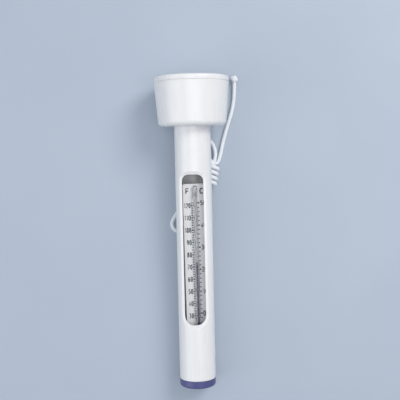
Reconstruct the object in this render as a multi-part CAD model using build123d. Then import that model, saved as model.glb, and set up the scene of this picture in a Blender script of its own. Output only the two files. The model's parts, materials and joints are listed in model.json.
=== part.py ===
from build123d import *
from math import atan2, cos, degrees, pi, radians, sin, tan
import os

os.makedirs("parts", exist_ok=True)

# Floating pool thermometer, in millimetres, lying on its back as a flat object lies on a table.
# Row frame: +Z is up and out of the window, +Y runs along the tube to the float, +X is to the right.
# The rigid parts are drawn in the tube's own frame, then laid down together. In that frame Z is the
# distance along the tube from the plug's base, -Y is the window's side and +X is to the right.

# Tube and its window
TUBE_R = 11.0
BORE_R = 9.5
RIM_Z = 4.7  # the tube's lower end
TUBE_TOP_Z = 168.0
RIM_EDGE = 0.4
WINDOW_LOW_Z = 38.9
WINDOW_HIGH_Z = 129.2
WINDOW_WIDTH = 12.8
WINDOW_TURN = 3.7  # degrees that the window faces to the left of straight up
WINDOW_TOP_CORNER = 4.0
WINDOW_FOOT_CORNER = 5.6
BEVEL_WIDE = 1.9
BEVEL_DEEP = 0.85

# Cord eyelet, moulded on the back of the neck
EYE_Z = 151.5
EYE_Y = 13.2
EYE_R = 3.0
EYE_HOLE_R = 1.7
EYE_HALF_THICK = 1.6

# Float
FLOAT_BASE_Z = 158.0
SEAM_Z = 184.2
CROWN_Z = 188.5  # the lid's crown, and so the whole length
FLOAT_BASE_R = 20.4
FLOAT_R = 22.5
FLOAT_WALL = 1.9
FLOAT_FLOOR = 3.0
FLOAT_CORNER = 3.0
FLOAT_HOLE_R = 11.15
SEAM_BEVEL = 0.3
LID_DOME = 1.0
LID_CORNER = 1.4
LID_SKIRT_R = 20.0
LID_SKIRT_WALL = 1.6
LID_SKIRT_Z = 180.5
LID_WALL = 1.8

# Seal, lock ring, tube stopper and foam inside the float
SEAL_GROOVE_LOW_Z = 158.9
SEAL_GROOVE_HIGH_Z = 160.5
SEAL_GROOVE_R = 12.9
SEAL_SECTION_R = 0.75
SEAL_MID_R = 12.05
RING_LOW_Z = 161.05
RING_HIGH_Z = 163.6
RING_IN_R = 11.05
RING_OUT_R = 14.0
FIT_GAP = 0.1  # radial play of what pushes into the tube
STOPPER_LOW_Z = 162.0
STOPPER_HIGH_Z = 170.0
FOAM_LOW_Z = 164.0
FOAM_HIGH_Z = 180.0
FOAM_BORE_R = 12.0
FOAM_BORE_HIGH_Z = 171.0
FOAM_R = 18.0

# End plug and ballast
PLUG_R = 11.0
PLUG_HEIGHT = 13.0
PLUG_EDGE = 1.5
SEAT_GAP = 0.05
POCKET_R = 6.2
POCKET_FLOOR_Z = 3.0
BALLAST_R = 6.1
BALLAST_HIGH_Z = 8.9

# Scale plate and glass, which lean a little in the tube
LEAN_DEG = 0.53
LEAN_X = 1.71  # how far right of the tube's axis the glass stands at the plug's base
PLATE_LEFT = 7.2
PLATE_RIGHT = 6.6
PLATE_FRONT_Y = -3.6
PLATE_THICK = 0.8
PLATE_LOW_Z = 9.1
PLATE_HIGH_Z = 123.5
PLATE_CORNER = 1.0
BULB_HOLE_HALF = 3.8
BULB_HOLE_LOW_Z = 12.9
BULB_HOLE_HIGH_Z = 32.5
STEM_R = 1.5
STEM_Y = PLATE_FRONT_Y - STEM_R - 0.03
STEM_TOP_Z = 122.5
BULB_R = 3.2
BULB_LOW_Z = 14.0
BULB_SHOULDER_Z = 26.0
STEM_FROM_Z = 30.0
BORE_OF_STEM_R = 0.7
GLASS_WALL = 0.8
SPIRIT_GAP = 0.08
COLUMN_TOP_Z = 75.7  # about 23 degrees Celsius
MENISCUS_HEIGHT = 0.4
CLIP_LOW_Z = 34.0
CLIP_HIGH_Z = 36.4
CLIP_WALL = 0.6
CLIP_FOOT_HALF = 4.4
BOND_Z = (60.0, 117.0)
BOND_LENGTH = 3.0
CUSHION_R = 2.7
CUSHION_LOW_Z = 13.08
CUSHION_HIGH_Z = 13.95

# Cord, laid on the surface under the tube and beside the float, in the row frame
CORD_D = 2.4
FLOOR_GAP = 0.05
LEAD_ROUTE = [
    (-1.9, 58.1, 7.2),
    (5.5, 58.3, 6.8),
    (12.0, 55.6, 3.0),
    (14.4, 48.6, 1.25),
    (13.0, 42.6, 2.8),
]
TAIL_ROUTE = [
    (15.4, 42.0, 1.25),
    (17.2, 47.5, 1.25),
    (18.4, 53.5, 1.25),
    (20.2, 60.0, 1.25),
    (22.6, 67.5, 1.25),
    (25.2, 75.6, 1.25),
    (26.6, 83.9, 1.25),
    (26.8, 92.0, 2.0),
]
HANK_NEAR = (7.0, 42.0)  # the middle of the hank's bights nearest the float
HANK_FAR = [(-9.6, 4.6), (-2.7, 8.4)]  # the middles of its far bights, lower turn first
HANK_BEND_R = 5.0
WRAP_START = (12.0, 41.3)
WRAP_END = (9.3, 28.3)
WRAP_HEIGHT = 5.1
WRAP_R = 5.05
KNOT_R = 2.6
END_KNOT_AT = (26.6, 94.4, 2.65)
EYE_KNOT_X = -4.25


def turned(*corners):
    """A solid turned about the tube's axis, from its corners as (radius, distance along the tube)."""
    return revolve(make_face(Plane.XZ * Polyline(*corners, close=True)), Axis.Z)


def rings(solid, radius, height):
    """The round edges of that radius at that distance along the tube."""
    near = 0.01
    found = []
    for edge in solid.edges().filter_by(GeomType.CIRCLE):
        if abs(edge.radius - radius) < near and abs(edge.arc_center.Z - height) < near:
            found.append(edge)
    return found


def rod(radius, low, high, x=0.0, y=0.0):
    """A round bar along the tube."""
    return Pos(x, y, (low + high) / 2) * Cylinder(radius, high - low)


def slab(x_low, x_high, y_low, y_high, z_low, z_high):
    """A box from its limits."""
    middle = Pos((x_low + x_high) / 2, (y_low + y_high) / 2, (z_low + z_high) / 2)
    return middle * Box(x_high - x_low, y_high - y_low, z_high - z_low)


def float_bore_r(height):
    """The cup's inside radius at a distance along the tube."""
    share = (height - FLOAT_BASE_Z) / (SEAM_Z - FLOAT_BASE_Z)
    return FLOAT_BASE_R + share * (FLOAT_R - FLOAT_BASE_R) - FLOAT_WALL


def window_outline():
    """The window's outline on the XZ plane, with tighter corners at the float's end."""
    outline = Pos(0, (WINDOW_LOW_Z + WINDOW_HIGH_Z) / 2) * Rectangle(
        WINDOW_WIDTH, WINDOW_HIGH_Z - WINDOW_LOW_Z
    )
    corners = outline.vertices().group_by(Axis.Y)
    outline = fillet(corners[0], WINDOW_FOOT_CORNER)
    upper = outline.vertices().group_by(Axis.Y)[-1]
    return fillet(upper, WINDOW_TOP_CORNER)


def eyelet():
    """The cord's eyelet: a rounded ear with its hole across the tube."""
    root = (TUBE_R + BORE_R) / 2
    ear = Pos(EYE_Y, EYE_Z) * Circle(EYE_R)
    ear += Pos((root + EYE_Y) / 2, EYE_Z) * Rectangle(EYE_Y - root, 2 * EYE_R)
    ear -= Pos(EYE_Y, EYE_Z) * Circle(EYE_HOLE_R)
    return extrude(Plane.YZ * ear, amount=EYE_HALF_THICK, both=True)


def tube():
    """The casing tube, open below, with a bevelled window and the cord's eyelet."""
    body = turned(
        (BORE_R, RIM_Z), (TUBE_R, RIM_Z), (TUBE_R, TUBE_TOP_Z), (BORE_R, TUBE_TOP_Z)
    )
    body = fillet(rings(body, TUBE_R, RIM_Z), RIM_EDGE)
    body -= extrude(Plane.XZ * window_outline(), amount=2 * TUBE_R)
    surface = body.faces().filter_by(GeomType.CYLINDER).sort_by(SortBy.AREA)[-1]
    edge_of_window = surface.inner_wires()[0].edges()
    body = chamfer(edge_of_window, BEVEL_WIDE, BEVEL_DEEP, reference=surface)
    return Rot(0, 0, -WINDOW_TURN) * body + eyelet()


def float_cup():
    """The float's cup, wider towards the lid, with a hole for the neck and a seal groove."""
    cup = turned(
        (FLOAT_HOLE_R, FLOAT_BASE_Z),
        (FLOAT_BASE_R, FLOAT_BASE_Z),
        (FLOAT_R, SEAM_Z),
        (FLOAT_R - FLOAT_WALL, SEAM_Z),
        (float_bore_r(FLOAT_BASE_Z + FLOAT_FLOOR), FLOAT_BASE_Z + FLOAT_FLOOR),
        (FLOAT_HOLE_R, FLOAT_BASE_Z + FLOAT_FLOOR),
    )
    cup = fillet(rings(cup, FLOAT_BASE_R, FLOAT_BASE_Z), FLOAT_CORNER)
    cup = chamfer(rings(cup, FLOAT_R, SEAM_Z), SEAM_BEVEL)
    groove = rod(SEAL_GROOVE_R, SEAL_GROOVE_LOW_Z, SEAL_GROOVE_HIGH_Z)
    return cup - groove


def float_lid():
    """The lid: a low dome with a rounded rim, and a skirt that pushes into the cup."""
    flat_r = FLOAT_R - LID_CORNER
    rim_z = CROWN_Z - LID_DOME
    skirt_in_r = LID_SKIRT_R - LID_SKIRT_WALL
    outline = ThreePointArc(
        (0, CROWN_Z), (flat_r / 2, CROWN_Z - LID_DOME / 4), (flat_r, rim_z)
    )
    outline += RadiusArc((flat_r, rim_z), (FLOAT_R, rim_z - LID_CORNER), LID_CORNER)
    outline += Polyline(
        (FLOAT_R, rim_z - LID_CORNER),
        (FLOAT_R, SEAM_Z + SEAM_BEVEL),
        (FLOAT_R - SEAM_BEVEL, SEAM_Z),
        (LID_SKIRT_R, SEAM_Z),
        (LID_SKIRT_R, LID_SKIRT_Z),
        (skirt_in_r, LID_SKIRT_Z),
        (skirt_in_r, rim_z - LID_WALL),
        (0, CROWN_Z - LID_WALL),
        (0, CROWN_Z),
    )
    return revolve(make_face(Plane.XZ * outline), Axis.Z)


def neck_seal():
    """The round-section ring that seals the neck in the cup's floor."""
    middle = (SEAL_GROOVE_LOW_Z + SEAL_GROOVE_HIGH_Z) / 2
    return Pos(0, 0, middle) * Torus(SEAL_MID_R, SEAL_SECTION_R)


def lock_ring():
    """The ring that holds the neck in the cup, on the cup's floor."""
    return rod(RING_OUT_R, RING_LOW_Z, RING_HIGH_Z) - rod(
        RING_IN_R, RING_LOW_Z - 1, RING_HIGH_Z + 1
    )


def tube_stopper():
    """The stopper that closes the tube's upper end, inside the float."""
    return rod(BORE_R - FIT_GAP, STOPPER_LOW_Z, TUBE_TOP_Z) + rod(
        TUBE_R, TUBE_TOP_Z, STOPPER_HIGH_Z
    )


def foam_core():
    """The foam block that keeps the float up if its shell leaks."""
    return turned(
        (FOAM_BORE_R, FOAM_LOW_Z),
        (FOAM_R, FOAM_LOW_Z),
        (FOAM_R, FOAM_HIGH_Z),
        (0, FOAM_HIGH_Z),
        (0, FOAM_BORE_HIGH_Z),
        (FOAM_BORE_R, FOAM_BORE_HIGH_Z),
    )


def end_plug():
    """The push-in end plug, with a pocket for the ballast and a slot for the plate's foot."""
    plug = rod(PLUG_R, 0, RIM_Z - SEAT_GAP)
    plug = fillet(rings(plug, PLUG_R, 0), PLUG_EDGE)
    plug = fillet(rings(plug, PLUG_R, RIM_Z - SEAT_GAP), RIM_EDGE)
    plug += rod(BORE_R - FIT_GAP, RIM_Z - SEAT_GAP, PLUG_HEIGHT)
    plug -= rod(POCKET_R, POCKET_FLOOR_Z, PLUG_HEIGHT + 1)
    slot_gap = 0.3
    plate_back_y = PLATE_FRONT_Y + PLATE_THICK
    plug -= slab(
        LEAN_X - PLATE_LEFT - slot_gap,
        LEAN_X + PLATE_RIGHT + slot_gap / 2,
        PLATE_FRONT_Y - FIT_GAP / 2,
        plate_back_y + FIT_GAP / 2,
        PLATE_LOW_Z - SEAT_GAP,
        PLUG_HEIGHT + 1,
    )
    return plug


def ballast_weight():
    """The weight in the plug that holds the tube upright in the water."""
    weight = rod(BALLAST_R, POCKET_FLOOR_Z + SEAT_GAP, BALLAST_HIGH_Z)
    return chamfer(weight.edges().filter_by(GeomType.CIRCLE), SEAM_BEVEL)


def scale_plate():
    """The scale's strip, with a hole for the bulb near its foot."""
    plate = slab(
        -PLATE_LEFT,
        PLATE_RIGHT,
        PLATE_FRONT_Y,
        PLATE_FRONT_Y + PLATE_THICK,
        PLATE_LOW_Z,
        PLATE_HIGH_Z,
    )
    plate = fillet(plate.edges().filter_by(Axis.Y), PLATE_CORNER)
    hole = slab(
        -BULB_HOLE_HALF,
        BULB_HOLE_HALF,
        PLATE_FRONT_Y - 1,
        0,
        BULB_HOLE_LOW_Z,
        BULB_HOLE_HIGH_Z,
    )
    return plate - fillet(hole.edges().filter_by(Axis.Y), BULB_HOLE_HALF - 1)


def vial(bulb_r, stem_r, low, top):
    """A bulb and stem with round ends, before it is hollowed or filled."""
    cone_length = STEM_FROM_Z - BULB_SHOULDER_Z
    shape = Pos(0, STEM_Y, low + bulb_r) * Sphere(bulb_r)
    shape += rod(bulb_r, low + bulb_r, BULB_SHOULDER_Z, y=STEM_Y)
    cone_middle = BULB_SHOULDER_Z + cone_length / 2
    shape += Pos(0, STEM_Y, cone_middle) * Cone(bulb_r, stem_r, cone_length)
    shape += rod(stem_r, STEM_FROM_Z, top - stem_r, y=STEM_Y)
    return shape + Pos(0, STEM_Y, top - stem_r) * Sphere(stem_r)


def glass_stem():
    """The glass: a bulb, a stem and the bore inside them."""
    outside = vial(BULB_R, STEM_R, BULB_LOW_Z, STEM_TOP_Z)
    inside = vial(
        BULB_R - GLASS_WALL,
        BORE_OF_STEM_R,
        BULB_LOW_Z + GLASS_WALL,
        STEM_TOP_Z - GLASS_WALL,
    )
    return outside - inside


def bulb_spirit():
    """The spirit in the bulb, up to the foot of the column."""
    fill = vial(
        BULB_R - GLASS_WALL - SPIRIT_GAP,
        BORE_OF_STEM_R - SPIRIT_GAP,
        BULB_LOW_Z + GLASS_WALL + SPIRIT_GAP,
        STEM_TOP_Z - GLASS_WALL,
    )
    below = slab(-TUBE_R, TUBE_R, -TUBE_R, TUBE_R, 0, STEM_FROM_Z)
    return fill & below


def spirit_column():
    """The coloured column in the stem, from the bulb to the reading."""
    return rod(BORE_OF_STEM_R - SPIRIT_GAP, STEM_FROM_Z, COLUMN_TOP_Z, y=STEM_Y)


def meniscus():
    """The end of the column, which is where the temperature is read."""
    top = COLUMN_TOP_Z + MENISCUS_HEIGHT
    end = rod(BORE_OF_STEM_R - SPIRIT_GAP, COLUMN_TOP_Z, top, y=STEM_Y)
    return chamfer(rings(end, BORE_OF_STEM_R - SPIRIT_GAP, top), MENISCUS_HEIGHT / 2)


def stem_clip():
    """The clip that holds the stem on the plate, below the window."""
    foot_y = PLATE_FRONT_Y - CLIP_WALL
    clip = rod(STEM_R + CLIP_WALL, CLIP_LOW_Z, CLIP_HIGH_Z, y=STEM_Y)
    clip += slab(
        -CLIP_FOOT_HALF, CLIP_FOOT_HALF, foot_y, PLATE_FRONT_Y, CLIP_LOW_Z, CLIP_HIGH_Z
    )
    clip -= slab(
        -CLIP_FOOT_HALF,
        CLIP_FOOT_HALF,
        PLATE_FRONT_Y,
        0,
        CLIP_LOW_Z - 1,
        CLIP_HIGH_Z + 1,
    )
    return clip - rod(STEM_R + SEAT_GAP, CLIP_LOW_Z - 1, CLIP_HIGH_Z + 1, y=STEM_Y)


def stem_adhesive():
    """Two dots of adhesive between the stem and the plate."""
    half_width = STEM_R * 0.75
    dots = []
    for middle in BOND_Z:
        dot = slab(
            -half_width,
            half_width,
            PLATE_FRONT_Y - CLIP_WALL,
            PLATE_FRONT_Y,
            middle - BOND_LENGTH / 2,
            middle + BOND_LENGTH / 2,
        )
        dots.append(dot - rod(STEM_R, 0, STEM_TOP_Z, y=STEM_Y))
    return Compound(children=[s for d in dots for s in d.solids()])


def bulb_cushion():
    """The pad under the glass bulb, on the plug."""
    return rod(CUSHION_R, CUSHION_LOW_Z, CUSHION_HIGH_Z, y=STEM_Y)


def bend_radii(route):
    """The arc at each corner of a cord's route, as large as its two runs allow."""
    points = [Vector(*p) for p in route]
    radii = []
    for before, corner, after in zip(points, points[1:], points[2:]):
        shorter = min((corner - before).length, (after - corner).length)
        turn = radians((corner - before).get_angle(after - corner))
        radii.append(0.45 * shorter / tan(turn / 2))
    return radii


def cord_tube(name, route):
    """The cord along an open route, as straight runs joined by tangent arcs."""
    radii = bend_radii(route)
    path = FilletPolyline(*route, radius=radii)
    section = Plane(origin=path @ 0, z_dir=path % 0) * Circle(CORD_D / 2)
    tube_solid = sweep(section, path=path)
    expected = pi * CORD_D**2 / 4 * path.length
    print(f"{name}: length {path.length:.1f}, volume share {tube_solid.volume / expected:.4f}")
    print(f"{name}: radii {[round(r, 1) for r in radii]}")
    return tube_solid


def hank_layer(far, z_low, z_high):
    """One turn of the hank, filled in: round at both ends."""
    near = Vector(*HANK_NEAR)
    run = Vector(*far) - near
    middle = near + run * 0.5
    outline = SlotCenterToCenter(run.length, 2 * HANK_BEND_R + CORD_D)
    heading = degrees(atan2(run.Y, run.X))
    place = Pos(middle.X, middle.Y, z_low) * Rot(0, 0, heading)
    return extrude(place * outline, amount=z_high - z_low)


def tether_hank():
    """The outer shape of the hank: two fanned turns and the wrapping round its right limb."""
    lower_top = FLOOR_GAP + CORD_D + FLOOR_GAP
    hank = hank_layer(HANK_FAR[0], FLOOR_GAP, lower_top)
    hank += hank_layer(HANK_FAR[1], lower_top, 2 * CORD_D + FLOOR_GAP)
    start = Vector(*WRAP_START, WRAP_HEIGHT)
    end = Vector(*WRAP_END, WRAP_HEIGHT)
    wrap = Solid.make_cylinder(
        WRAP_R, (end - start).length, Plane(origin=start, z_dir=end - start)
    )
    return hank + wrap


def end_knot():
    """The knot at the cord's free end."""
    return Pos(*END_KNOT_AT) * Sphere(KNOT_R)


def eye_knot(eye):
    """The stopper knot on the eyelet's left side."""
    return Pos(EYE_KNOT_X, eye.Y, eye.Z) * Sphere(KNOT_R)


casing = {
    "tube": tube(),
    "float_cup": float_cup(),
    "float_lid": float_lid(),
    "neck_seal": neck_seal(),
    "lock_ring": lock_ring(),
    "tube_stopper": tube_stopper(),
    "foam_core": foam_core(),
    "end_plug": end_plug(),
    "ballast_weight": ballast_weight(),
}
leaning = {
    "scale_plate": scale_plate(),
    "glass_stem": glass_stem(),
    "bulb_spirit": bulb_spirit(),
    "spirit_column": spirit_column(),
    "meniscus": meniscus(),
    "stem_clip": stem_clip(),
    "stem_adhesive": stem_adhesive(),
    "bulb_cushion": bulb_cushion(),
}

# The plug's edge and the float's widest ring both rest on the surface.
tilt = degrees(atan2(FLOAT_R - PLUG_R, SEAM_Z - PLUG_EDGE))
lying = Rot(tilt - 90, 0, 0)
outer = [lying * casing[name] for name in ("tube", "float_cup", "float_lid", "end_plug")]
extent = Compound(children=outer).bounding_box()
lay = Pos(0, -extent.center().Y, -extent.min.Z) * lying
lean = lay * Pos(LEAN_X, 0, 0) * Rot(0, -LEAN_DEG, 0)
eye_centre = (lay * Pos(0, EYE_Y, EYE_Z)).position

nodes = {name: lay * solid for name, solid in casing.items()}
nodes.update({name: lean * solid for name, solid in leaning.items()})
nodes["tether_lead"] = cord_tube("tether_lead", LEAD_ROUTE)
nodes["tether_hank"] = tether_hank()
nodes["tether_tail"] = cord_tube("tether_tail", TAIL_ROUTE)
nodes["end_knot"] = end_knot()
nodes["eye_knot"] = eye_knot(eye_centre)

for name, solid in nodes.items():
    export_step(solid, f"parts/{name}.step")

print(f"tilt {tilt:.4f}, eyelet centre {eye_centre}, base {lay.position}")
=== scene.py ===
import json
from math import cos, pi, radians, sin, sqrt

import bmesh
import bpy
from mathutils import Matrix, Vector


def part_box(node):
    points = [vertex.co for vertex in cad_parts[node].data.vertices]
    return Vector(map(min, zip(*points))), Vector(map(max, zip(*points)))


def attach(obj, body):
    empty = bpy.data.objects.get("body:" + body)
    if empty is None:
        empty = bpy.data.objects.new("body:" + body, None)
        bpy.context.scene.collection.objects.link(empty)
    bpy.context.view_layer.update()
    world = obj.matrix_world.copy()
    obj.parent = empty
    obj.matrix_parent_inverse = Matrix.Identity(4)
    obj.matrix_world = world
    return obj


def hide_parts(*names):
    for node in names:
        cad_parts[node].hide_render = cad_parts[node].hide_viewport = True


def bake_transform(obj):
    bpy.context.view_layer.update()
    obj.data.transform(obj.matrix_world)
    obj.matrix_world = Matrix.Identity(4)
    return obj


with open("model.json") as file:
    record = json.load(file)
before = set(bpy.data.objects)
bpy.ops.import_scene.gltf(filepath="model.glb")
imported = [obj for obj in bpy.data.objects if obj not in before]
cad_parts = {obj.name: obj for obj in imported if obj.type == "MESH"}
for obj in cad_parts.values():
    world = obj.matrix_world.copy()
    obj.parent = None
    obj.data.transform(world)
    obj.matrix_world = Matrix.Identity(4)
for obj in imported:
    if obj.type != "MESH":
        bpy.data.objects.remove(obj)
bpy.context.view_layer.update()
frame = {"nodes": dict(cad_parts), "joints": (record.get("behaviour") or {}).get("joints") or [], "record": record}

# All sizes are metres, in the row frame: +Z up, +Y along the tube to the float, +X to the right.

# --- Where things are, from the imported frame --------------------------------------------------
JOINTS = {joint["name"]: joint for joint in frame["joints"]}
MOUNTS = {mount["name"]: mount for mount in frame["record"]["mounts"]}
PLUG_BASE = Vector(MOUNTS["plug_base"]["pos_m"])
STEM_ALONG = Vector(JOINTS["spirit_rise"]["axis"]).normalized()
STEM_RIGHT = (Vector((1, 0, 0)) - STEM_ALONG * STEM_ALONG.x).normalized()
STEM_OUT = STEM_RIGHT.cross(STEM_ALONG)  # out of the window

# --- The scale, in the plate's own plane -------------------------------------------------------
STEM_FOOT_X = 0.00171  # the stem's axis is this far right of the tube's at the plug's base
STEM_DEPTH = 0.00513  # and this far in front of it
PLATE_DEPTH = 0.0036
ZERO_C = 0.0449  # from the plug's base to 0 degrees Celsius
PER_C = 0.00134
PRINT_LIFT = 0.00003
TICK_NEAR = 0.00122  # from the stem's axis to each tick
TICK_FAR = {"major": 0.00252, "minor": 0.00242}
TICK_WIDTH = {"major": 0.00080, "minor": 0.00055}
STROKE = 0.00052
LETTER_STROKE = 0.00070
COLUMN_R = 0.00061
COLUMN_FOOT = 0.020  # inside the bulb
COLUMN_RINGS = 120
READING_OVERLAP = 0.0002

# --- The cord ----------------------------------------------------------------------------------
CORD_D = 0.0024
LEAD_ROUTE = [
    (-0.0019, 0.0581, 0.0072),
    (0.0055, 0.0583, 0.0068),
    (0.0120, 0.0556, 0.0030),
    (0.0144, 0.0486, 0.00125),
    (0.0130, 0.0426, 0.0028),
]
TAIL_ROUTE = [
    (0.0154, 0.0420, 0.00125),
    (0.0172, 0.0475, 0.00125),
    (0.0184, 0.0535, 0.00125),
    (0.0202, 0.0600, 0.00125),
    (0.0226, 0.0675, 0.00125),
    (0.0252, 0.0756, 0.00125),
    (0.0266, 0.0839, 0.00125),
    (0.0268, 0.0920, 0.0020),
]
FAR_BEND = 0.0050
FAR_BIGHTS = [  # the hank's bends under the tube: middle, first and last bearing, height, and the way back
    ((-0.0094, 0.0046), (-40, -222), 0.00125, [(-0.0085, 0.0150, 0.00125), (-0.0024, 0.0270, 0.0014)]),
    ((-0.0027, 0.0088), (-30, -210), 0.0037, [(-0.0030, 0.0190, 0.0037), (0.0008, 0.0300, 0.0040)]),
]
NEAR_BIGHTS = [  # its bends nearest the float: middle, bend, first and last height
    ((0.0066, 0.0414), 0.0049, (0.0030, 0.0058)),
    ((0.0064, 0.0404), 0.0048, (0.0054, 0.0080)),
]
LIMB_SHARES = (0.12, 0.4, 0.68, 0.95)  # how far down the wrapped limb a turn's points lie
LIMB_BEARINGS = [(235, 205, 205, 205), (-25, -25, -25, -25)]  # and where they lie in it, seen along it
LEAVING_SAG = ((0.35, 0.35), (0.72, 0.24))  # how each turn drops from the limb to its far bight
WRAP_START = Vector((0.0120, 0.0413, 0.0051))
WRAP_END = Vector((0.0093, 0.0283, 0.0051))
WRAP_BEND = 0.00385
WRAP_TURN_IN = [  # the turn into the wraps: right of their axis, above it, and past their end
    (0.0005, 0.0016, -0.0005),
    (0.0012, 0.0019, 0.0014),
    (0.0010, 0.0022, 0.0034),
    (-0.0004, 0.0025, 0.0049),
    (-0.0024, 0.0024, 0.0052),
    (-0.0041, 0.0016, 0.0046),
]
WRAP_LOOSE = (0.0010, 0.0032)  # the first wrap starts this much wider and further out
WRAP_TURNS = 5
POINTS_PER_TURN = 14


# --- Camera and light, first -------------------------------------------------------------------
def make_camera():
    """The camera looks straight down, as the photographer did on a card that lay flat."""
    data = bpy.data.cameras.new("camera")
    data.sensor_width = 36.0
    data.lens = 67.5
    data.clip_start = 0.01
    data.clip_end = 10
    camera = bpy.data.objects.new("camera", data)
    camera.location = (0.00367, 0.0192, 0.472)
    camera.rotation_euler = (0, 0, -radians(1.28))
    bpy.context.collection.objects.link(camera)
    bpy.context.scene.camera = camera


def area_light(name, place, aim, size, power, colour):
    """A rectangular light at place that faces aim."""
    data = bpy.data.lights.new(name, "AREA")
    data.shape = "RECTANGLE"
    data.size, data.size_y = size
    data.energy = power
    data.color = colour
    light = bpy.data.objects.new(name, data)
    light.location = place
    light.rotation_mode = "QUATERNION"
    light.rotation_quaternion = (Vector(aim) - Vector(place)).to_track_quat("-Z", "Y")
    bpy.context.collection.objects.link(light)


def make_lights():
    """Soft light from above and the right, with a weaker fill from the left."""
    area_light("key", (0.50, 0.48, 0.75), (0, 0, 0), (0.36, 0.46), 4.6, (1.0, 0.975, 0.94))
    area_light("top", (0.10, -0.05, 1.0), (0, 0, 0), (0.40, 0.90), 2.2, (0.98, 0.99, 1.0))
    area_light("fill", (-0.7, -0.2, 0.5), (0, 0, 0), (0.6, 0.8), 1.9, (0.94, 0.97, 1.0))
    world = bpy.data.worlds.new("studio")
    world.use_nodes = True
    background = world.node_tree.nodes["Background"]
    background.inputs["Color"].default_value = (0.90, 0.93, 1.0, 1)
    background.inputs["Strength"].default_value = 0.52
    bpy.context.scene.world = world
    bpy.context.scene.view_settings.view_transform = "Standard"


# --- Materials ---------------------------------------------------------------------------------
class Nodes:
    """A material's node tree, with short calls for the nodes that are used here."""

    def __init__(self, name):
        self.material = bpy.data.materials.new(name)
        self.material.use_nodes = True
        self.tree = self.material.node_tree
        self.shader = self.tree.nodes["Principled BSDF"]
        self.place = self.add("ShaderNodeTexCoord").outputs["Object"]

    def add(self, kind, **settings):
        node = self.tree.nodes.new(kind)
        for key, value in settings.items():
            setattr(node, key, value)
        return node

    def link(self, source, target):
        self.tree.links.new(source, target)

    def noise(self, scale, detail=3.0, roughness=0.5, stretch=(1, 1, 1)):
        """Noise with features of about 1/scale metres."""
        mapping = self.add("ShaderNodeMapping")
        mapping.inputs["Scale"].default_value = stretch
        self.link(self.place, mapping.inputs["Vector"])
        node = self.add("ShaderNodeTexNoise")
        node.inputs["Scale"].default_value = scale
        node.inputs["Detail"].default_value = detail
        node.inputs["Roughness"].default_value = roughness
        self.link(mapping.outputs["Vector"], node.inputs["Vector"])
        return node.outputs["Fac"]

    def ramp(self, value, stops):
        """value mapped to colours: stops are (place, colour)."""
        node = self.add("ShaderNodeValToRGB")
        elements = node.color_ramp.elements
        while len(elements) < len(stops):
            elements.new(0.5)
        for element, (place, colour) in zip(elements, stops):
            element.position = place
            element.color = (*colour, 1)
        self.link(value, node.inputs["Fac"])
        return node.outputs["Color"]

    def span(self, value, low, high):
        """value from 0..1 moved to low..high."""
        node = self.add("ShaderNodeMapRange")
        node.inputs["To Min"].default_value = low
        node.inputs["To Max"].default_value = high
        self.link(value, node.inputs["Value"])
        return node.outputs["Result"]

    def bump(self, height, depth, after=None):
        """A bump of that depth in metres, chained after another normal."""
        node = self.add("ShaderNodeBump")
        node.inputs["Strength"].default_value = 1.0
        node.inputs["Distance"].default_value = depth
        self.link(height, node.inputs["Height"])
        if after is not None:
            self.link(after, node.inputs["Normal"])
        return node.outputs["Normal"]

    def set(self, **values):
        for key, value in values.items():
            self.shader.inputs[key.replace("_", " ")].default_value = value

    def give(self, target, source):
        self.link(source, self.shader.inputs[target])


def plastic(name, dark, light, rough=(0.25, 0.31)):
    """Moulded plastic: faint streaks along the draw, a slow ripple and a very fine grain."""
    n = Nodes(name)
    tone = n.noise(170, detail=4, stretch=(1, 0.04, 1))
    n.give("Base Color", n.ramp(tone, [(0.3, dark), (0.7, light)]))
    n.give("Roughness", n.span(n.noise(260, detail=3, stretch=(1, 0.1, 1)), *rough))
    waves = n.bump(n.noise(90, detail=0, stretch=(1, 0.08, 1)), 0.000012)
    n.give("Normal", n.bump(n.noise(3600, detail=1), 0.0000004, after=waves))
    return n


def white_plastic():
    n = plastic("white_shell", (0.785, 0.79, 0.795), (0.82, 0.822, 0.822))
    n.set(IOR=1.5, Coat_Weight=0.25, Coat_Roughness=0.12)
    n.set(Subsurface_Weight=0.35, Subsurface_Scale=0.002, Subsurface_Radius=(1, 1, 1))
    return n.material


def blue_plastic():
    n = plastic("blue_plug", (0.060, 0.066, 0.195), (0.080, 0.086, 0.24), rough=(0.26, 0.4))
    n.set(IOR=1.5, Coat_Weight=0.2, Coat_Roughness=0.2)
    return n.material


def inner_plastic():
    return plastic("inner_plastic", (0.60, 0.62, 0.63), (0.68, 0.69, 0.70), (0.4, 0.6)).material


def scale_print():
    """The printed strip: pale grey, with a faint fibre and a satin varnish."""
    n = Nodes("scale_print")
    tone = n.noise(120, detail=5)
    n.give("Base Color", n.ramp(tone, [(0.3, (0.72, 0.725, 0.74)), (0.7, (0.77, 0.775, 0.785))]))
    n.give("Roughness", n.span(n.noise(900, detail=4), 0.42, 0.58))
    n.give("Normal", n.bump(n.noise(3500, detail=3, stretch=(1, 0.2, 1)), 0.000005))
    return n.material


def ink():
    """Printing ink, thinner in places."""
    n = Nodes("ink")
    tone = n.noise(2600, detail=4)
    n.give("Base Color", n.ramp(tone, [(0.3, (0.006, 0.006, 0.008)), (0.75, (0.024, 0.025, 0.029))]))
    n.give("Roughness", n.span(n.noise(3000), 0.35, 0.55))
    return n.material


def glass():
    n = Nodes("clear_glass")
    n.set(Transmission_Weight=1.0, IOR=1.47)
    n.give("Base Color", n.ramp(n.noise(60), [(0.0, (0.90, 0.915, 0.93)), (1.0, (0.94, 0.95, 0.96))]))
    n.give("Roughness", n.span(n.noise(300, stretch=(1, 0.1, 1)), 0.05, 0.11))
    n.give("Normal", n.bump(n.noise(90, stretch=(1, 0.15, 1)), 0.000002))
    return n.material


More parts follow.
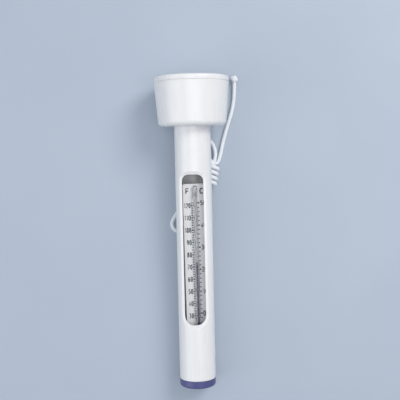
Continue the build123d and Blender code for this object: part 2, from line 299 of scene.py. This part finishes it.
def spirit():
    n = Nodes("spirit")
    n.give("Base Color", n.ramp(n.noise(400), [(0.2, (0.030, 0.036, 0.095)), (0.8, (0.050, 0.058, 0.15))]))
    n.give("Roughness", n.span(n.noise(500), 0.08, 0.16))
    n.set(IOR=1.36, Coat_Weight=0.4)
    return n.material


def rubber():
    n = Nodes("seal_rubber")
    n.give("Base Color", n.ramp(n.noise(300), [(0.2, (0.01, 0.01, 0.01)), (0.8, (0.03, 0.03, 0.03))]))
    n.give("Roughness", n.span(n.noise(800), 0.55, 0.8))
    n.give("Normal", n.bump(n.noise(4000), 0.00001))
    return n.material


def steel():
    n = Nodes("weight_steel")
    n.set(Metallic=1.0)
    n.give("Base Color", n.ramp(n.noise(200), [(0.2, (0.42, 0.43, 0.45)), (0.8, (0.6, 0.61, 0.63))]))
    n.give("Roughness", n.span(n.noise(1500, stretch=(1, 20, 1)), 0.25, 0.5))
    return n.material


def foam():
    """Expanded foam: pressed beads with dark seams."""
    n = Nodes("foam")
    cells = n.add("ShaderNodeTexVoronoi", feature="DISTANCE_TO_EDGE")
    cells.inputs["Scale"].default_value = 450
    n.link(n.place, cells.inputs["Vector"])
    seams = cells.outputs["Distance"]
    n.give("Base Color", n.ramp(seams, [(0.0, (0.66, 0.66, 0.63)), (0.12, (0.86, 0.86, 0.83))]))
    n.give("Roughness", n.span(n.noise(700), 0.7, 0.9))
    n.give("Normal", n.bump(seams, 0.0002))
    return n.material


def adhesive():
    n = Nodes("adhesive")
    n.give("Base Color", n.ramp(n.noise(900), [(0.2, (0.74, 0.745, 0.75)), (0.8, (0.80, 0.80, 0.80))]))
    n.give("Roughness", n.span(n.noise(900), 0.15, 0.35))
    n.set(Transmission_Weight=0.5)
    return n.material


def cord_yarn():
    """White polyester yarn: fine filaments and a soft sheen."""
    n = Nodes("cord")
    tone = n.noise(1400, detail=5)
    n.give("Base Color", n.ramp(tone, [(0.25, (0.76, 0.79, 0.84)), (0.7, (0.88, 0.90, 0.93))]))
    n.give("Roughness", n.span(n.noise(2500), 0.5, 0.7))
    n.give("Normal", n.bump(n.noise(16000, detail=2), 0.00002))
    n.set(Sheen_Weight=0.35, Sheen_Roughness=0.5)
    n.set(Subsurface_Weight=0.15, Subsurface_Scale=0.0005, Subsurface_Radius=(1, 1, 1))
    return n.material


def floor_material():
    """A plain pale surface."""
    n = Nodes("floor")
    n.give("Base Color", n.ramp(n.noise(14), [(0.3, (0.40, 0.465, 0.55)), (0.7, (0.42, 0.485, 0.57))]))
    n.give("Roughness", n.span(n.noise(60), 0.5, 0.62))
    return n.material


# --- Mesh helpers ------------------------------------------------------------------------------
def new_object(name, mesh, material, smooth=True):
    piece = bpy.data.objects.new(name, mesh)
    bpy.context.collection.objects.link(piece)
    mesh.materials.clear()
    mesh.materials.append(material)
    for face in mesh.polygons:
        face.use_smooth = smooth
    return piece


def tube_mesh(name, rings):
    """A closed skin over rings of points, each a list of the same length."""
    mesh = bpy.data.meshes.new(name)
    sides = len(rings[0])
    points = [p for ring in rings for p in ring]
    faces = []
    for i in range(len(rings) - 1):
        for k in range(sides):
            a, b = i * sides + k, i * sides + (k + 1) % sides
            faces.append((a, b, b + sides, a + sides))
    faces.append(tuple(reversed(range(sides))))
    last = (len(rings) - 1) * sides
    faces.append(tuple(range(last, last + sides)))
    mesh.from_pydata([tuple(p) for p in points], [], faces)
    mesh.update()
    return mesh


def frames_along(line):
    """Each point of a line with its direction and a side that turns as little as possible."""
    found = []
    side = None
    for i, point in enumerate(line):
        ahead = (line[min(i + 1, len(line) - 1)] - line[max(i - 1, 0)]).normalized()
        if side is None:
            side = ahead.orthogonal().normalized()
        side = (side - ahead * side.dot(ahead)).normalized()
        found.append((point, ahead, side))
    return found


def evenly(line, step):
    """The line again with points about step apart."""
    total = sum((b - a).length for a, b in zip(line, line[1:]))
    count = max(2, round(total / step))
    spacing = total / count
    out, walked, wanted = [line[0].copy()], 0.0, spacing
    for a, b in zip(line, line[1:]):
        length = (b - a).length
        while length > 0 and walked + length >= wanted - 1e-12 and len(out) < count:
            out.append(a.lerp(b, (wanted - walked) / length))
            wanted += spacing
        walked += length
    out.append(line[-1].copy())
    return out


# --- The braided cord --------------------------------------------------------------------------
BRAID_CARRIERS = 8
BRAID_PITCH = 0.0052  # one strand's way round the cord
BRAID_RELIEF = 0.00009


def braided(name, line, material):
    """A round braid along a line: crossing strands stand a little proud of the cord."""
    step = 0.00024
    sides = 32
    walked = 0.0
    rings = []
    before = line[0]
    for point, ahead, side in frames_along(evenly(line, step)):
        walked += (point - before).length
        before = point
        other = ahead.cross(side)
        turn = 2 * pi * walked / BRAID_PITCH
        ring = []
        for k in range(sides):
            angle = 2 * pi * k / sides
            right = cos(BRAID_CARRIERS / 2 * (angle - turn))
            left = cos(BRAID_CARRIERS / 2 * (angle + turn))
            over = max(right, left)
            radius = CORD_D / 2 + BRAID_RELIEF * (over - 0.75)
            ring.append(point + (side * cos(angle) + other * sin(angle)) * radius)
        rings.append(ring)
    return new_object(name, tube_mesh(name, rings), material)


def hank_points():
    """The folded and wrapped part of the cord, between its two free strands.

    Two turns run down the wrapped limb, round a far bight and back up under the tube. The cord then
    goes down the limb once more and is wound back up round it.
    """
    axis = (WRAP_END - WRAP_START).normalized()
    right = Vector((-axis.y, axis.x, 0))
    up = Vector((0, 0, 1))
    long = (WRAP_END - WRAP_START).length
    bundle = CORD_D / sqrt(3)

    def in_limb(angle, share):
        offset = right * cos(angle) + up * sin(angle)
        return WRAP_START + axis * long * share + offset * bundle

    def in_bight(middle, bend, angle, height):
        return Vector((middle[0] + bend * cos(angle), middle[1] + bend * sin(angle), height))

    def bight(middle, bend, first, last, heights, count):
        out = []
        for k in range(count):
            share = k / (count - 1)
            angle = radians(first + (last - first) * share)
            out.append(in_bight(middle, bend, angle, heights[0] + (heights[1] - heights[0]) * share))
        return out

    points = []
    for far, near, bearings in zip(FAR_BIGHTS, NEAR_BIGHTS, LIMB_BEARINGS):
        middle, (first, last), height, back = far
        for bearing, share in zip(bearings, LIMB_SHARES):
            points.append(in_limb(radians(bearing), share))
        entry = in_bight(middle, FAR_BEND, radians(first), height)
        leaving = points[-1]
        for share, sag in LEAVING_SAG:
            points.append(leaving.lerp(entry, share) - up * (leaving.z - height) * sag)
        points += bight(middle, FAR_BEND, first, last, (height, height), 7)
        points += [Vector(p) for p in back]
        middle, bend, heights = near
        points += bight(middle, bend, 175, 25, heights, 5)
    for share in (0.1, 0.36, 0.62, 0.84):
        points.append(in_limb(radians(90), share))
    for x, z, past in WRAP_TURN_IN:
        points.append(WRAP_END + right * x + up * z + axis * past)
    count = WRAP_TURNS * POINTS_PER_TURN
    first_angle, last_angle = radians(180), radians(270 + 360 * (WRAP_TURNS - 1))
    for k in range(count):
        share = k / (count - 1)
        angle = first_angle + (last_angle - first_angle) * share
        loose = max(0.0, 1 - (angle - pi) / radians(240)) ** 2
        across = right * cos(angle) * (WRAP_BEND + WRAP_LOOSE[0] * loose) + up * sin(angle) * WRAP_BEND
        points.append(WRAP_END - axis * (long * share - WRAP_LOOSE[1] * loose) + across)
    return points


def make_cord(material):
    """The cord as one braided piece, with the line that it follows and its length."""
    route = [Vector(p) for p in LEAD_ROUTE] + hank_points() + [Vector(p) for p in TAIL_ROUTE]
    curve = bpy.data.curves.new("cord_route", "CURVE")
    curve.dimensions = "3D"
    spline = curve.splines.new("NURBS")
    spline.points.add(len(route) - 1)
    for point, place in zip(spline.points, route):
        point.co = (*place, 1)
    spline.order_u = 3
    spline.use_endpoint_u = True
    spline.resolution_u = 8
    holder = bpy.data.objects.new("cord_route", curve)
    mesh = bpy.data.meshes.new_from_object(holder)
    line = [v.co.copy() for v in mesh.vertices]
    bpy.data.meshes.remove(mesh)
    bpy.data.objects.remove(holder)
    bpy.data.curves.remove(curve)
    length = sum((b - a).length for a, b in zip(line, line[1:]))
    print("cord length", round(length, 4))
    piece = braided("tether_cord", line, material)
    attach(piece, "casing")
    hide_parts("tether_lead", "tether_hank", "tether_tail")
    return piece, line, length


def knot_line(centre, size, along):
    """A tight overhand knot's line, as a trefoil with its axis along the cord."""
    turn = Vector((0, 0, 1)).rotation_difference(along)
    line = []
    count = 72
    for k in range(count + 1):
        t = 2 * pi * k / count
        p = Vector((sin(t) + 2 * sin(2 * t), cos(t) - 2 * cos(2 * t), -1.5 * sin(3 * t))) / 3
        line.append(Vector(centre) + turn @ (p * size))
    return line


def make_knot(name, node, cord_end, material):
    """The cord's own knot, drawn tight, with the cord going in and its cut end just showing."""
    low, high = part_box(node)
    centre = (low + high) / 2
    size = (high.x - low.x) / 2
    along = (centre - Vector(cord_end)).normalized()
    lines = [
        knot_line(centre, size * 0.52, along),
        [Vector(cord_end), centre],
        [centre, centre + along * size * 0.78],
    ]
    pieces = [braided(f"{name}_{k}", line, material) for k, line in enumerate(lines)]
    return joined(name, pieces)


def joined(name, pieces):
    """Several objects' meshes as one piece."""
    mesh = bpy.data.meshes.new(name)
    shape = bmesh.new()
    for piece in pieces:
        shape.from_mesh(piece.data)
    shape.to_mesh(mesh)
    shape.free()
    material = pieces[0].data.materials[0]
    for piece in pieces:
        old = piece.data
        bpy.data.objects.remove(piece)
        bpy.data.meshes.remove(old)
    return new_object(name, mesh, material)


# --- The scale's printing ----------------------------------------------------------------------
def stem_point(distance, x=0.0, depth=STEM_DEPTH):
    """A point that far along the stem, x right of it, and depth in front of the tube's axis."""
    foot = PLUG_BASE + Vector((STEM_FOOT_X, 0, 0))
    return foot + STEM_ALONG * distance + STEM_RIGHT * x + STEM_OUT * depth


def plate_frame(x, distance):
    """The matrix that puts flat print on the plate, read with the float at the top."""
    at = stem_point(distance, x, PLATE_DEPTH)
    columns = Matrix((STEM_RIGHT, STEM_ALONG, STEM_OUT)).transposed()
    return Matrix.Translation(at) @ columns.to_4x4()


def arc(x, y, rx, ry, first, last, count=11):
    """Points on an ellipse from one bearing to another, in degrees."""
    turns = [radians(first + (last - first) * k / (count - 1)) for k in range(count)]
    return [(x + rx * cos(t), y + ry * sin(t)) for t in turns]


def oval(x, y, rx, ry):
    """A closed ellipse, its first point not repeated."""
    return arc(x, y, rx, ry, 90, 450, 21)[:-1]


SIX_BACK = arc(0.92, 0.31, 0.90, 0.69, 96, 176)
GLYPHS = {  # each character's strokes in a unit box, as (points, closed)
    "0": [(arc(0.5, 0.7, 0.5, 0.3, 0, 180) + arc(0.5, 0.3, 0.5, 0.3, 180, 360), True)],
    "1": [([(0.1, 0.8), (0.9, 1.0), (0.9, 0.0)], False)],
    "2": [(arc(0.5, 0.72, 0.48, 0.28, 165, -32) + [(0.0, 0.0), (1.0, 0.0)], False)],
    "3": [(arc(0.46, 0.76, 0.44, 0.24, 150, -90), False), (arc(0.46, 0.26, 0.52, 0.26, 90, -150), False)],
    "4": [([(0.74, 0.0), (0.74, 1.0), (0.0, 0.28), (1.0, 0.28)], False)],
    "5": [([(0.92, 1.0), (0.16, 1.0), (0.06, 0.55)] + arc(0.48, 0.32, 0.5, 0.32, 120, -150), False)],
    "6": [(SIX_BACK, False), (oval(0.5, 0.30, 0.48, 0.30), True)],
    "7": [([(0.0, 1.0), (1.0, 1.0), (0.36, 0.0)], False)],
    "8": [(oval(0.5, 0.76, 0.42, 0.24), True), (oval(0.5, 0.26, 0.5, 0.26), True)],
    "9": [([(1 - x, 1 - y) for x, y in SIX_BACK], False), (oval(0.5, 0.70, 0.48, 0.30), True)],
    "F": [([(0.0, 0.0), (0.0, 1.0), (1.0, 1.0)], False), ([(0.0, 0.53), (0.82, 0.53)], False)],
    "C": [(arc(0.5, 0.66, 0.5, 0.34, 28, 180) + arc(0.5, 0.34, 0.5, 0.34, 180, 332), False)],
}


def figure(text, x, distance, size, align, stroke=STROKE):
    """Drawn characters as a thin mesh on the plate, size being their full width and height."""
    wide, tall = size
    gap = stroke + 0.00024
    shares = [0.5 if c == "1" else 1.0 for c in text]
    unit = (wide - stroke - gap * (len(text) - 1)) / sum(shares)
    left = {"LEFT": 0.0, "CENTER": -wide / 2, "RIGHT": -wide}[align] + stroke / 2
    data = bpy.data.curves.new("figure", "CURVE")
    data.dimensions = "3D"
    data.bevel_depth = stroke / 2
    data.bevel_resolution = 1
    data.use_fill_caps = True
    for character, share in zip(text, shares):
        for outline, closed in GLYPHS[character]:
            spline = data.splines.new("POLY")
            spline.points.add(len(outline) - 1)
            spline.use_cyclic_u = closed
            for point, (u, v) in zip(spline.points, outline):
                point.co = (left + u * unit * share, (v - 0.5) * (tall - stroke), 0, 1)
        left += unit * share + gap
    holder = bpy.data.objects.new("figure", data)
    mesh = bpy.data.meshes.new_from_object(holder)
    bpy.data.objects.remove(holder)
    bpy.data.curves.remove(data)
    flat = 2 * PRINT_LIFT / stroke
    mesh.transform(Matrix.Diagonal((1, 1, flat, 1)))
    mesh.transform(plate_frame(x, distance))
    return mesh


def bar(shape, x_low, x_high, distance, width):
    """One printed tick as a thin raised bar."""
    corners = []
    for lift in (0.0, PRINT_LIFT):
        for x, side in ((x_low, -1), (x_high, -1), (x_high, 1), (x_low, 1)):
            place = stem_point(distance + side * width / 2, x, PLATE_DEPTH + lift)
            corners.append(shape.verts.new(place))
    a, b = corners[:4], corners[4:]
    shape.faces.new(b)
    shape.faces.new(list(reversed(a)))
    for k in range(4):
        shape.faces.new((a[k], a[(k + 1) % 4], b[(k + 1) % 4], b[k]))


def from_celsius(degrees):
    return ZERO_C + PER_C * degrees


def from_fahrenheit(degrees):
    return from_celsius((degrees - 32) * 5 / 9)


def make_ticks(material):
    """Marks every two degrees, Fahrenheit left of the stem and Celsius right of it."""
    shape = bmesh.new()
    sides = ((from_celsius, -2, 50, 1), (from_fahrenheit, 28, 122, -1))
    for place, first, last, side in sides:
        for degrees in range(first, last + 1, 2):
            kind = "minor" if degrees % 10 else "major"
            low, high = sorted((side * TICK_NEAR, side * TICK_FAR[kind]))
            bar(shape, low, high, place(degrees), TICK_WIDTH[kind])
    mesh = bpy.data.meshes.new("scale_ticks")
    shape.to_mesh(mesh)
    shape.free()
    piece = new_object("scale_ticks", mesh, material, smooth=False)
    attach(piece, "insert")


def make_figures(material):
    """The figures of both scales, and their two letters at the top."""
    meshes = []
    for degrees in range(30, 121, 10):
        size = (0.0029 if degrees < 100 else 0.0039, 0.0032)
        meshes.append(figure(str(degrees), -0.00283, from_fahrenheit(degrees), size, "RIGHT"))
    for degrees in range(0, 51, 10):
        size = (0.0036 if degrees else 0.0016, 0.00315)
        meshes.append(figure(str(degrees), 0.00285, from_celsius(degrees), size, "LEFT"))
    letter_at = from_fahrenheit(122) + 0.0072
    meshes.append(figure("F", -0.0045, letter_at, (0.0023, 0.0038), "CENTER", stroke=LETTER_STROKE))
    meshes.append(figure("C", 0.0040, letter_at, (0.0023, 0.0037), "CENTER", stroke=LETTER_STROKE))
    shape = bmesh.new()
    for mesh in meshes:
        shape.from_mesh(mesh)
        bpy.data.meshes.remove(mesh)
    whole = bpy.data.meshes.new("scale_figures")
    shape.to_mesh(whole)
    shape.free()
    piece = new_object("scale_figures", whole, material, smooth=False)
    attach(piece, "insert")


# --- The spirit's column -----------------------------------------------------------------------
def make_column(material):
    """The column, from inside the bulb to the reading."""
    reading_low, reading_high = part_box("meniscus")
    centre = (reading_low + reading_high) / 2
    top = (centre - stem_point(0)).dot(STEM_ALONG) - READING_OVERLAP
    rings = []
    for k in range(COLUMN_RINGS + 1):
        middle = stem_point(COLUMN_FOOT + (top - COLUMN_FOOT) * k / COLUMN_RINGS)
        turns = [2 * pi * j / 24 for j in range(24)]
        rings.append([middle + (STEM_RIGHT * cos(t) + STEM_OUT * sin(t)) * COLUMN_R for t in turns])
    piece = new_object("spirit_thread", tube_mesh("spirit_thread", rings), material)
    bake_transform(piece)
    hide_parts("spirit_column")


# --- Put it together ---------------------------------------------------------------------------
def paint_nodes(by_slot):
    """Each CAD node that stays gets its slot's material."""
    slots = {s["node"]: s["material_slot"] for s in frame["record"]["subparts"]}
    for node, piece in frame["nodes"].items():
        piece.data.materials.clear()
        piece.data.materials.append(by_slot[slots[node]])


def make_floor():
    shape = bmesh.new()
    bmesh.ops.create_grid(shape, x_segments=2, y_segments=2, size=25)
    mesh = bpy.data.meshes.new("floor")
    shape.to_mesh(mesh)
    shape.free()
    floor = new_object("floor", mesh, floor_material(), smooth=False)


def make_materials():
    """The materials by their slot's name."""
    return {
        "white_shell": white_plastic(),
        "blue_plug": blue_plastic(),
        "inner_plastic": inner_plastic(),
        "foam": foam(),
        "seal_rubber": rubber(),
        "weight_steel": steel(),
        "scale_print": scale_print(),
        "clear_glass": glass(),
        "spirit": spirit(),
        "adhesive": adhesive(),
        "cord": cord_yarn(),
    }


def make_tether(material):
    """The cord with its two knots, each on the casing's body."""
    cord, line, length = make_cord(material)
    end_knot = make_knot("cord_end_knot", "end_knot", TAIL_ROUTE[-1], material)
    eye_knot = make_knot("cord_eye_knot", "eye_knot", LEAD_ROUTE[0], material)
    for knot, node in ((end_knot, "end_knot"), (eye_knot, "eye_knot")):
        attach(knot, "casing")
        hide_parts(node)


make_camera()
make_lights()
materials = make_materials()
paint_nodes(materials)
make_tether(materials["cord"])
printing = ink()
make_ticks(printing)
make_figures(printing)
make_column(materials["spirit"])
make_floor()
